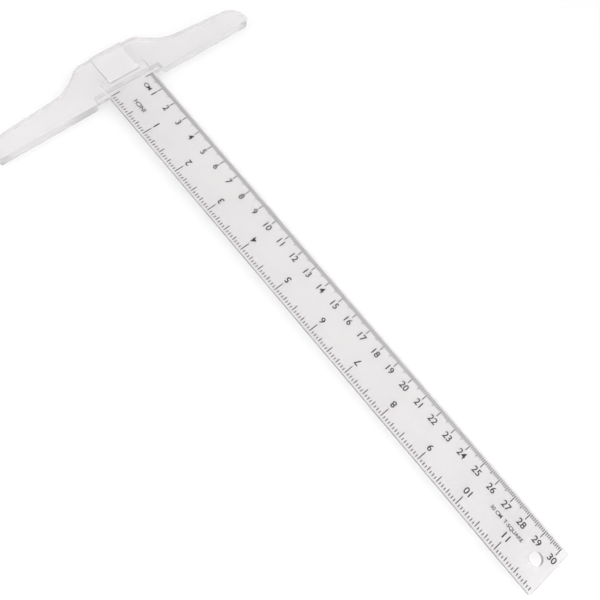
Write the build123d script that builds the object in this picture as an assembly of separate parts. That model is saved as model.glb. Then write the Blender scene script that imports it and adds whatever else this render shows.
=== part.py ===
from build123d import *
import os

# A clear plastic drafting T-square: a moulded head and a blade that plugs into it.
# Lengths are in millimetres.
#
# Frame: the origin is where the blade's centreline meets the working edge, on the blade's
# underside. With the square on a drawing board, the board's top is the plane z = 0 and the
# board's edge is the plane x = 0. +X runs along the blade to its free end, +Y points to the
# metric edge, and +Z points up. The head is symmetric about y = 0.

# Blade
blade_end = 304.0            # free end, from the working edge
blade_width = 27.0
blade_thickness = 2.0
blade_corner_radius = 1.2    # the two corners at the free end
blade_edge_chamfer = 0.25    # upper edges, so that they aren't sharp
hang_hole_x = 295.2
hang_hole_radius = 3.3

# Tongue of the blade and the socket that takes it
shoulder_x = -9.0            # where the blade narrows to its tongue
tongue_end_x = -21.5
tongue_width = 17.0
tongue_lead_in = 1.0         # chamfer on the two corners that enter the socket first
socket_end_gap = 0.5         # left free past the end of the tongue
fit_gap = 0.05               # all round the blade where the head holds it
rebate_depth = 0.3           # the blade is thinner by this, from below, where it lies in the head

# Head, seen from above: half of the outline, mirrored about y = 0
head_half_length = 75.5
hump_x = -23.4               # outer edge of the hump behind the blade
hump_half_width = 17.2
wing_root_x = -13.9          # outer edge of a wing where it leaves the hump
wing_root_y = 30.4
wing_tip_x = -10.7
hump_shoulder_radius = 7.0
wing_root_radius = 28.0
wing_outer_corner_radius = 9.5
wing_inner_corner_radius = 1.5
head_edge_radius = 0.6       # upper edge, all round

# Head, from below
lip_depth = 4.0              # how far the lip reaches below the top of the drawing board
relief_half_width = 19.5     # the lip stops short of the blade, so that a pencil clears it
relief_back_x = -4.7         # the rebate's step stops against this wall
lip_end_radius = 2.5

# Raised panel over the socket
panel_width = 18.4
panel_front_x = -6.0
panel_height = 1.0           # above the rest of the head
panel_edge_radius = 0.4

# Printed graduations
ink_thickness = 0.05
tick_width = 0.42
tick_margin = 0.9            # bare plastic between a tick and the edge of the blade
metric_ticks = 300           # one per millimetre, after the zero tick
metric_lengths = [(10, 4.4), (5, 2.8), (1, 1.9)]
inch = 25.4
inch_ticks = 190             # one per sixteenth of an inch, after the zero tick
inch_lengths = [(16, 5.0), (8, 3.4), (4, 2.4), (2, 1.7), (1, 1.4)]

overshoot = 5.0              # how far a cutting block runs past the surface that it opens


def block(x, y, z):
    """A box from its low and high limits along each axis."""
    size = [high - low for low, high in (x, y, z)]
    middle = [(high + low) / 2 for low, high in (x, y, z)]
    return Pos(*middle) * Box(*size)


def band(half_width):
    """Limits along y of a strip centred on the blade."""
    return (-half_width, half_width)


def corners_at(sketch, x, y):
    """The corners of a sketch at (x, y) and (x, -y)."""
    return sketch.vertices().filter_by(
        lambda v: abs(v.X - x) < 0.01 and abs(abs(v.Y) - y) < 0.01
    )


def head_outline():
    """The head from above: straight working edge, hump behind the blade, two tapering wings."""
    half = [
        (hump_x, hump_half_width),
        (wing_root_x, wing_root_y),
        (wing_tip_x, head_half_length),
        (0, head_half_length),
    ]
    other_half = [(x, -y) for x, y in reversed(half)]
    outline = make_face(Polyline(*half, *other_half, close=True))
    radii = [
        hump_shoulder_radius,
        wing_root_radius,
        wing_outer_corner_radius,
        wing_inner_corner_radius,
    ]
    for (x, y), radius in zip(half, radii):
        outline = fillet(corners_at(outline, x, y), radius)
    return outline


def make_head():
    """One moulding: wings with a deep lip, a seat for the blade, and a socket under the panel."""
    top = blade_thickness
    panel_top = top + panel_height
    head = Pos(0, 0, -lip_depth) * extrude(head_outline(), amount=lip_depth + top)
    head = fillet(head.faces().sort_by(Axis.Z)[-1].edges(), head_edge_radius)

    # relief in the lip, beside the blade and under it
    head -= block((relief_back_x, overshoot), band(relief_half_width), (-lip_depth - overshoot, 0))
    lip_ends = head.edges().filter_by(Axis.Z).filter_by(
        lambda e: abs(e.center().X) < 0.01 and abs(abs(e.center().Y) - relief_half_width) < 0.01
    )
    head = fillet(lip_ends, lip_end_radius)

    # seat for the blade's full width: open above, and open below as far back as the relief
    seat_back = shoulder_x - fit_gap
    seat_floor = rebate_depth - fit_gap
    seat = band(blade_width / 2 + fit_gap)
    head -= block((seat_back, overshoot), seat, (seat_floor, top + overshoot))
    head -= block((relief_back_x, overshoot), seat, (-overshoot, top))

    # raised panel, then the room for the blade and its tongue underneath it
    panel = block((hump_x, panel_front_x), band(panel_width / 2), (0, panel_top))
    head += fillet(panel.faces().sort_by(Axis.Z)[-1].edges(), panel_edge_radius)
    socket_end = tongue_end_x - socket_end_gap
    under_panel = (seat_floor, top + fit_gap)
    head -= block((seat_back, overshoot), seat, under_panel)
    head -= block((socket_end, overshoot), band(tongue_width / 2 + fit_gap), under_panel)
    return head


def make_blade():
    """A flat strip with a rebated tongue for the socket and a hole to hang it by."""
    half_width = blade_width / 2
    half_tongue = tongue_width / 2
    half = [
        (tongue_end_x, half_tongue),
        (shoulder_x, half_tongue),
        (shoulder_x, half_width),
        (blade_end, half_width),
    ]
    other_half = [(x, -y) for x, y in reversed(half)]
    outline = make_face(Polyline(*half, *other_half, close=True))
    outline = fillet(corners_at(outline, blade_end, half_width), blade_corner_radius)
    outline = chamfer(corners_at(outline, tongue_end_x, half_tongue), tongue_lead_in)
    outline -= Pos(hang_hole_x, 0) * Circle(hang_hole_radius)
    blade = extrude(outline, amount=blade_thickness)
    rebate = (tongue_end_x - overshoot, relief_back_x + fit_gap)
    blade -= block(rebate, band(blade_width), (-overshoot, rebate_depth))
    ruling_edges = blade.edges().filter_by(Axis.X).filter_by(
        lambda e: e.center().Z > blade_thickness / 2 and abs(e.center().Y) > half_tongue + 1
    )
    return chamfer(ruling_edges, blade_edge_chamfer)


def make_graduations(side, count, pitch, lengths):
    """Ticks along one edge. The first length whose step divides the tick's number is its own."""
    outer = blade_width / 2 - tick_margin
    ticks = []
    for number in range(count + 1):
        length = next(size for step, size in lengths if number % step == 0)
        tick = Box(tick_width, length, ink_thickness)
        middle_y = side * (outer - length / 2)
        ticks.append(Pos(number * pitch, middle_y, blade_thickness + ink_thickness / 2) * tick)
    return Compound(children=ticks)


parts = {
    "head": make_head(),
    "blade": make_blade(),
    "metric_graduations": make_graduations(+1, metric_ticks, 1.0, metric_lengths),
    "inch_graduations": make_graduations(-1, inch_ticks, inch / 16, inch_lengths),
}

os.makedirs("parts", exist_ok=True)
for name, part in parts.items():
    export_step(part, f"parts/{name}.step")
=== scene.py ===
import math

import bmesh
import bpy
import numpy as np
from mathutils import Matrix, Vector


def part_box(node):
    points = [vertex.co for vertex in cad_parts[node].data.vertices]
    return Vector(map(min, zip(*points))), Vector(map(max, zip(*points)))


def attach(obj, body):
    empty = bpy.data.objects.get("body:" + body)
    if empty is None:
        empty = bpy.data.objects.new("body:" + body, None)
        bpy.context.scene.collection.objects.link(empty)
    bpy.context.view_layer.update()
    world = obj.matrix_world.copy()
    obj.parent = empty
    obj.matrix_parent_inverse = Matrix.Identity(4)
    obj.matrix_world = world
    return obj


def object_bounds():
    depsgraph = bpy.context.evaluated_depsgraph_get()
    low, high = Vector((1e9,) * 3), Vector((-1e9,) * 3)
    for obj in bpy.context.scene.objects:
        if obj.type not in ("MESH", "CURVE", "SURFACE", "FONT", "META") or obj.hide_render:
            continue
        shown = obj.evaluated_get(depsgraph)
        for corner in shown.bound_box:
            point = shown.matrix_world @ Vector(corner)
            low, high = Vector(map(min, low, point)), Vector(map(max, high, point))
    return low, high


# A small clear plastic T-square: satin moulded head, polished blade, black printed scales.
# Lengths are in metres. +X runs along the blade from the working edge, +Y points to its metric
# edge, and +Z is up.

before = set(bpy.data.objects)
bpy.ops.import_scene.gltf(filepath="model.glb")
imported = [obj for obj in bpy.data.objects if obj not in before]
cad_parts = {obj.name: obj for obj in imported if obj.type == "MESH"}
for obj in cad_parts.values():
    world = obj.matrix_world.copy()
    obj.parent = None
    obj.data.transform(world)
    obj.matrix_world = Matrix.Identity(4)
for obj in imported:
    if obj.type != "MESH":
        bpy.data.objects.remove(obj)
cad_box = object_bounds()

MM = 0.001
INCH = 25.4 * MM

head_low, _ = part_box("head")
_, blade_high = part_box("blade")
_, ticks_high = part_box("metric_graduations")
blade_top = blade_high.z
ink_top = ticks_high.z

# Places that the tints of the plastics follow
front_depth = 2.0 * MM                        # the working face and its rounded edge
seat_back = -9.1 * MM                         # the blade's shoulders rest here
seat_half_width = blade_high.y + 0.1 * MM
seat_top = 1.3 * MM                           # above the seat's floor, below its roof
socket_front = -6.0 * MM                      # the raised panel covers the socket behind this
socket_half_width = 9.2 * MM
socket_fade = 4.0 * MM                        # the socket's tint is gone this far past its front
# Painted shade: upright faces behind the working face are painted darker, standing in for the dark
# outlines along the edges of clear plastic, and it fades with height
painted_shade_full_height = 2.0 * MM                    # up to here an upright face has its full painted shade
painted_shade_faint_height = 3.2 * MM                   # from here on it keeps only the faint share of the painted shade
painted_shade_faint = 0.2
upright_power = 0.4                           # below 1, so that a rounded edge counts early

# Clear plastic
plastic_ior = 1.49
cloud_size, cloud_depth = 45.0, 0.05
body_color = (0.5, 0.46, 0.47)                # what thick plastic lets through
ripple_strength = 0.25
lamp_tint = (0.94, 0.94, 0.94)                # what a lamp's light keeps on its way to the floor

# Printed figures
metric_row_y = 5.65 * MM
metric_height = 3.4 * MM
inch_row_y = -4.3 * MM
inch_height = 3.5 * MM
unit_height = 2.4 * MM
metric_unit_x = 5.0 * MM
inch_unit_x = 12.0 * MM
length_mark_x = 275.5 * MM
length_mark_height = 2.2 * MM
stroke_gain = 0.013                           # letters are fattened by this share of their size
weld_distance = 0.0001 * MM

# Room and lamp
floor_gap = 0.2 * MM
floor_reach = 15.0
floor_white = 0.9
sky_at_horizon, sky_overhead = 0.7, 0.957
sky_full_from = 0.6                           # height of a direction, from 0 to 1 straight up
lamp_offset = Vector((0.45, -0.7, 0.8))
lamp_size, lamp_power = 0.8, 5.8


# ---------------------------------------------------------------- materials

class Wiring:
    """Shorthand for one node tree. A value is either another node's output or a plain number."""

    def __init__(self, tree):
        self.nodes = tree.nodes
        self.link = tree.links.new

    def feed(self, socket, value):
        if isinstance(value, (int, float)):
            socket.default_value = value
        else:
            self.link(value, socket)

    def math(self, operation, first, second=0.0):
        node = self.nodes.new("ShaderNodeMath")
        node.operation = operation
        self.feed(node.inputs[0], first)
        self.feed(node.inputs[1], second)
        return node.outputs[0]

    def product(self, first, *others):
        for other in others:
            first = self.math("MULTIPLY", first, other)
        return first

    def ramp(self, value, start, end, first, last):
        """Runs from first to last while the value runs from start to end, and stays there."""
        node = self.nodes.new("ShaderNodeMapRange")
        limits = zip(("From Min", "From Max", "To Min", "To Max"), (start, end, first, last))
        for name, limit in limits:
            node.inputs[name].default_value = limit
        self.feed(node.inputs["Value"], value)
        return node.outputs["Result"]

    def noise(self, vector, scale, detail):
        node = self.nodes.new("ShaderNodeTexNoise")
        node.inputs["Detail"].default_value = detail
        self.link(vector, node.inputs["Vector"])
        self.link(scale, node.inputs["Scale"])
        return node.outputs["Fac"]

    def split(self, vector):
        node = self.nodes.new("ShaderNodeSeparateXYZ")
        self.link(vector, node.inputs[0])
        return node.outputs


def new_material(name):
    """An empty node material, its wiring and its output node."""
    material = bpy.data.materials.new(name)
    material.use_nodes = True
    material.node_tree.nodes.clear()
    wiring = Wiring(material.node_tree)
    return material, wiring, wiring.nodes.new("ShaderNodeOutputMaterial")


def new_group(name, inputs, outputs):
    """An empty node group from {socket name: kind}: its tree, its wiring, its inputs and its end."""
    group = bpy.data.node_groups.new(name, "ShaderNodeTree")
    for way, sockets in (("INPUT", inputs), ("OUTPUT", outputs)):
        for socket, kind in sockets.items():
            group.interface.new_socket(socket, in_out=way, socket_type="NodeSocket" + kind)
    wiring = Wiring(group)
    given = wiring.nodes.new("NodeGroupInput").outputs
    result = wiring.nodes.new("NodeGroupOutput").inputs
    return group, wiring, given, result


def moulding_marks():
    """Node group for a moulded or printed skin, worked out from the place on the piece.

    Color is the tint times (1 - Cloud Depth * noise), and upright faces behind the working face
    are darker by Painted Shade Depth, a painted shade for the dark outlines along clear edges.
    It is then whitened: by Front Clearness on the working face and in the seat of the blade, and
    by Socket Clearness in and over the socket.
    Roughness is Gloss + Gloss Spread * noise. Height is the same noise, for a faint ripple.
    """
    numbers = ("Cloud Size", "Cloud Depth", "Gloss", "Gloss Spread", "Ripple Size",
               "Rim Depth", "Front Clearness", "Socket Clearness")
    group, wiring, given, result = new_group(
        "moulding_marks",
        {"Vector": "Vector", "Tint": "Color", **{name: "Float" for name in numbers}},
        {"Color": "Color", "Roughness": "Float", "Height": "Float"},
    )
    math_node, product, ramp = wiring.math, wiring.product, wiring.ramp
    place = wiring.split(given["Vector"])
    facing = wiring.split(wiring.nodes.new("ShaderNodeNewGeometry").outputs["Normal"])

    # masks, each 1 inside its region
    flatness = math_node("ABSOLUTE", facing["Z"])
    upright = math_node("POWER", math_node("SUBTRACT", 1.0, flatness), upright_power)
    at_front = math_node("GREATER_THAN", place["X"], -front_depth)
    across = math_node("ABSOLUTE", place["Y"])
    in_seat = product(
        math_node("GREATER_THAN", place["X"], seat_back),
        math_node("LESS_THAN", across, seat_half_width),
        math_node("LESS_THAN", place["Z"], seat_top),
    )
    past_front = math_node("SUBTRACT", place["X"], socket_front)
    in_socket = product(
        math_node("LESS_THAN", across, socket_half_width),
        ramp(past_front, 0.0, socket_fade, 1.0, 0.0),
    )

    # clouded tint, with painted shade darkening the upright faces behind the working face
    clouds = wiring.noise(given["Vector"], given["Cloud Size"], 3.0)
    clouding = math_node("SUBTRACT", 1.0, product(clouds, given["Cloud Depth"]))
    rim = product(
        upright,
        ramp(place["Z"], painted_shade_full_height, painted_shade_faint_height, 1.0, painted_shade_faint),
        math_node("SUBTRACT", 1.0, at_front),
        given["Rim Depth"],
    )
    shade = wiring.nodes.new("ShaderNodeVectorMath")
    shade.operation = "SCALE"
    wiring.link(given["Tint"], shade.inputs[0])
    wiring.link(product(clouding, math_node("SUBTRACT", 1.0, rim)), shade.inputs["Scale"])

    # whitening
    front = math_node("MAXIMUM", product(upright, at_front), in_seat)
    whitening = math_node(
        "MAXIMUM",
        product(in_socket, given["Socket Clearness"]),
        product(front, given["Front Clearness"]),
    )
    tint = wiring.nodes.new("ShaderNodeMix")
    tint.data_type = "RGBA"
    factor, tinted, white = tint.inputs[0], tint.inputs[6], tint.inputs[7]
    wiring.link(whitening, factor)
    wiring.link(shade.outputs[0], tinted)
    white.default_value = (1, 1, 1, 1)
    wiring.link(tint.outputs[2], result["Color"])

    patches = wiring.noise(given["Vector"], given["Ripple Size"], 2.0)
    gloss = math_node("ADD", given["Gloss"], product(patches, given["Gloss Spread"]))
    wiring.link(gloss, result["Roughness"])
    wiring.link(patches, result["Height"])
    return group


def marked_skin(wiring, marks, tint, **values):
    """The marks in one material, with that material's own values, read on object coordinates."""
    node = wiring.nodes.new("ShaderNodeGroup")
    node.node_tree = marks
    node.inputs["Tint"].default_value = (*tint, 1)
    for name, value in values.items():
        node.inputs[name.replace("_", " ").title()].default_value = value
    place = wiring.nodes.new("ShaderNodeTexCoord")
    wiring.link(place.outputs["Object"], node.inputs["Vector"])
    return node.outputs


def clear_plastic(name, marks, tint, clearness, ripple_depth, density=0.0, **values):
    """Clear moulded plastic: it bends light, tints what lies behind it, and is darker where thick.

    A lamp's light goes straight through to the floor, a little dimmer, so the shadow is pale.
    """
    material, wiring, output = new_material(name)
    skin = marked_skin(wiring, marks, tint, cloud_size=cloud_size, cloud_depth=cloud_depth, **values)
    ripple = wiring.nodes.new("ShaderNodeBump")
    ripple.inputs["Strength"].default_value = ripple_strength
    ripple.inputs["Distance"].default_value = ripple_depth
    wiring.link(skin["Height"], ripple.inputs["Height"])
    plastic = wiring.nodes.new("ShaderNodeBsdfPrincipled")
    plastic.inputs["Transmission Weight"].default_value = clearness
    plastic.inputs["IOR"].default_value = plastic_ior
    wiring.link(skin["Color"], plastic.inputs["Base Color"])
    wiring.link(skin["Roughness"], plastic.inputs["Roughness"])
    wiring.link(ripple.outputs["Normal"], plastic.inputs["Normal"])
    lamp_way = wiring.nodes.new("ShaderNodeBsdfTransparent")
    lamp_way.inputs["Color"].default_value = (*lamp_tint, 1)
    ray = wiring.nodes.new("ShaderNodeLightPath")
    mix = wiring.nodes.new("ShaderNodeMixShader")
    wiring.link(ray.outputs["Is Shadow Ray"], mix.inputs["Fac"])
    wiring.link(plastic.outputs["BSDF"], mix.inputs[1])
    wiring.link(lamp_way.outputs["BSDF"], mix.inputs[2])
    wiring.link(mix.outputs["Shader"], output.inputs["Surface"])
    if density:
        body = wiring.nodes.new("ShaderNodeVolumeAbsorption")
        body.inputs["Color"].default_value = (*body_color, 1)
        body.inputs["Density"].default_value = density
        wiring.link(body.outputs["Volume"], output.inputs["Volume"])
    return material


def printed_ink(marks):
    """Black printing ink, a little worn: lighter in patches, with a dry sheen."""
    material, wiring, output = new_material("printed_ink")
    skin = marked_skin(
        wiring, marks, tint=(0.035, 0.035, 0.04), cloud_size=900.0, cloud_depth=0.5,
        gloss=0.35, gloss_spread=0.3, ripple_size=1500.0,
    )
    printing = wiring.nodes.new("ShaderNodeBsdfPrincipled")
    wiring.link(skin["Color"], printing.inputs["Base Color"])
    wiring.link(skin["Roughness"], printing.inputs["Roughness"])
    wiring.link(printing.outputs["BSDF"], output.inputs["Surface"])
    return material


def paint(name, material):
    """Gives a CAD node its final material."""
    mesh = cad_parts[name].data
    mesh.materials.clear()
    mesh.materials.append(material)


marks = moulding_marks()
head_plastic = clear_plastic(
    "head_plastic", marks, tint=(0.90, 0.885, 0.89), clearness=0.75, density=6.0,
    gloss=0.06, gloss_spread=0.06, ripple_size=260.0, ripple_depth=0.05 * MM,
    # the first value below sets how dark the painted shade on the head's outer upright edges is
    rim_depth=0.27, front_clearness=0.9, socket_clearness=0.34,
)
blade_plastic = clear_plastic(
    "blade_plastic", marks, tint=(0.865, 0.847, 0.852), clearness=0.85,
    gloss=0.02, gloss_spread=0.05, ripple_size=140.0, ripple_depth=0.02 * MM,
    socket_clearness=0.28,
)
ink = printed_ink(marks)
paint("head", head_plastic)
paint("blade", blade_plastic)
paint("metric_graduations", ink)
paint("inch_graduations", ink)


# ---------------------------------------------------------------- printed figures

def figure_outline(text, height):
    """A word as a flat solid: its points (N, 3), centred on its own middle, and its faces.

    The points are scaled in the plane until the word's extent along Y is the height. The
    thickness is that of the ink and isn't scaled.
    """
    curve = bpy.data.curves.new("figure", "FONT")
    curve.body = text
    curve.extrude = (ink_top - blade_top) / 2
    curve.offset = stroke_gain
    curve.resolution_u = 4
    holder = bpy.data.objects.new("figure", curve)
    bpy.context.scene.collection.objects.link(holder)
    bpy.context.view_layer.update()
    depsgraph = bpy.context.evaluated_depsgraph_get()
    mesh = bpy.data.meshes.new_from_object(holder.evaluated_get(depsgraph))
    points = np.empty(len(mesh.vertices) * 3)
    mesh.vertices.foreach_get("co", points)
    points = points.reshape(-1, 3)
    faces = [tuple(polygon.vertices) for polygon in mesh.polygons]
    bpy.data.objects.remove(holder)
    bpy.data.curves.remove(curve)
    bpy.data.meshes.remove(mesh)
    low, high = points.min(0), points.max(0)
    points[:, :2] -= (low[:2] + high[:2]) / 2
    points[:, :2] *= height / (high[1] - low[1])
    return points, faces


def print_figures(name, figures):
    """One piece of printing on the blade from (text, height, x, y, turned) entries.

    A figure reads along +X with its top towards +Y. A turned one is rotated half a turn.
    """
    all_points, all_faces, start = [], [], 0
    for text, height, x, y, turned in figures:
        points, faces = figure_outline(text, height)
        if turned:
            points[:, :2] *= -1
        points += (x, y, (blade_top + ink_top) / 2)
        all_points.append(points)
        all_faces += [tuple(start + i for i in face) for face in faces]
        start += len(points)
    mesh = bpy.data.meshes.new(name)
    mesh.from_pydata(np.concatenate(all_points).tolist(), [], all_faces)
    shell = bmesh.new()
    shell.from_mesh(mesh)
    bmesh.ops.remove_doubles(shell, verts=shell.verts, dist=weld_distance)
    bmesh.ops.recalc_face_normals(shell, faces=shell.faces)
    shell.to_mesh(mesh)
    shell.free()
    mesh.materials.append(ink)
    piece = bpy.data.objects.new(name, mesh)
    bpy.context.scene.collection.objects.link(piece)
    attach(piece, "blade")


print_figures("metric_numerals", [
    (str(n), metric_height, n * 10 * MM, metric_row_y, False) for n in range(1, 31)
])
print_figures("inch_numerals", [
    (str(n), inch_height, n * INCH, inch_row_y, True) for n in range(1, 12)
])
print_figures("unit_names", [
    ("CM", unit_height, metric_unit_x, metric_row_y, False),
    ("INCH", unit_height, inch_unit_x, inch_row_y, True),
])
print_figures("length_mark", [
    ("30 CM  T-SQUARE", length_mark_height, length_mark_x, 0.0, False),
])


# ---------------------------------------------------------------- room, lights and camera

def make_floor():
    """A pale floor just under the lip, far wider than the object."""
    z = head_low.z - floor_gap
    corners = [(-1, -1), (1, -1), (1, 1), (-1, 1)]
    mesh = bpy.data.meshes.new("floor")
    mesh.from_pydata([(x * floor_reach, y * floor_reach, z) for x, y in corners],
                     [], [(0, 1, 2, 3)])
    floor = bpy.data.objects.new("floor", mesh)
    bpy.context.scene.collection.objects.link(floor)
    material, wiring, output = new_material("floor_paper")
    paper = wiring.nodes.new("ShaderNodeBsdfPrincipled")
    paper.inputs["Base Color"].default_value = (floor_white, floor_white, floor_white, 1)
    paper.inputs["Roughness"].default_value = 0.9
    wiring.link(paper.outputs["BSDF"], output.inputs["Surface"])
    mesh.materials.append(material)


def make_lamp():
    """One large soft square lamp, over the blade's free end and turned to the object's middle."""
    middle = (cad_box[0] + cad_box[1]) / 2
    data = bpy.data.lights.new("key", "AREA")
    data.size = lamp_size
    data.energy = lamp_power
    lamp = bpy.data.objects.new("key", data)
    lamp.location = middle + lamp_offset
    lamp.rotation_mode = "QUATERNION"
    lamp.rotation_quaternion = (-lamp_offset).to_track_quat("-Z", "Y")
    bpy.context.scene.collection.objects.link(lamp)


def make_sky():
    """Even white light from all round, a little stronger from above than from the horizon."""
    world = bpy.data.worlds.new("studio")
    world.use_nodes = True
    wiring = Wiring(world.node_tree)
    direction = wiring.split(wiring.nodes.new("ShaderNodeTexCoord").outputs["Generated"])
    strength = wiring.ramp(direction["Z"], 0.0, sky_full_from, sky_at_horizon, sky_overhead)
    sky = wiring.nodes["Background"]
    sky.inputs["Color"].default_value = (1, 1, 1, 1)
    wiring.link(strength, sky.inputs["Strength"])
    bpy.context.scene.world = world


def make_camera():
    """Looks down the blade from its free end and inch side, turned about the line of sight."""
    low, high = cad_box
    size = high - low
    target = low + Vector((size.x * 0.4935, size.y * 0.459, size.z * 0.857))
    distance = 1.0475 * size.length
    azimuth, elevation, roll = math.radians(22.7), math.radians(66.96), math.radians(28.66)
    back = Vector((
        math.sin(azimuth) * math.cos(elevation),
        -math.cos(azimuth) * math.cos(elevation),
        math.sin(elevation),
    ))
    data = bpy.data.cameras.new("camera")
    data.lens = 48.16
    data.sensor_width = 36.0
    data.clip_start = 0.01
    camera = bpy.data.objects.new("camera", data)
    camera.rotation_mode = "QUATERNION"
    level = (-back).to_track_quat("-Z", "Y")
    camera.rotation_quaternion = Matrix.Rotation(roll, 3, back).to_quaternion() @ level
    camera.location = target + back * distance
    bpy.context.scene.collection.objects.link(camera)
    bpy.context.scene.camera = camera


make_floor()
make_sky()
make_lamp()
make_camera()
bpy.context.scene.view_settings.view_transform = "Standard"

# Light crosses many faces of clear plastic before it reaches the floor.
cycles = bpy.context.scene.cycles
cycles.max_bounces = 32
cycles.glossy_bounces = 24
cycles.transmission_bounces = 32
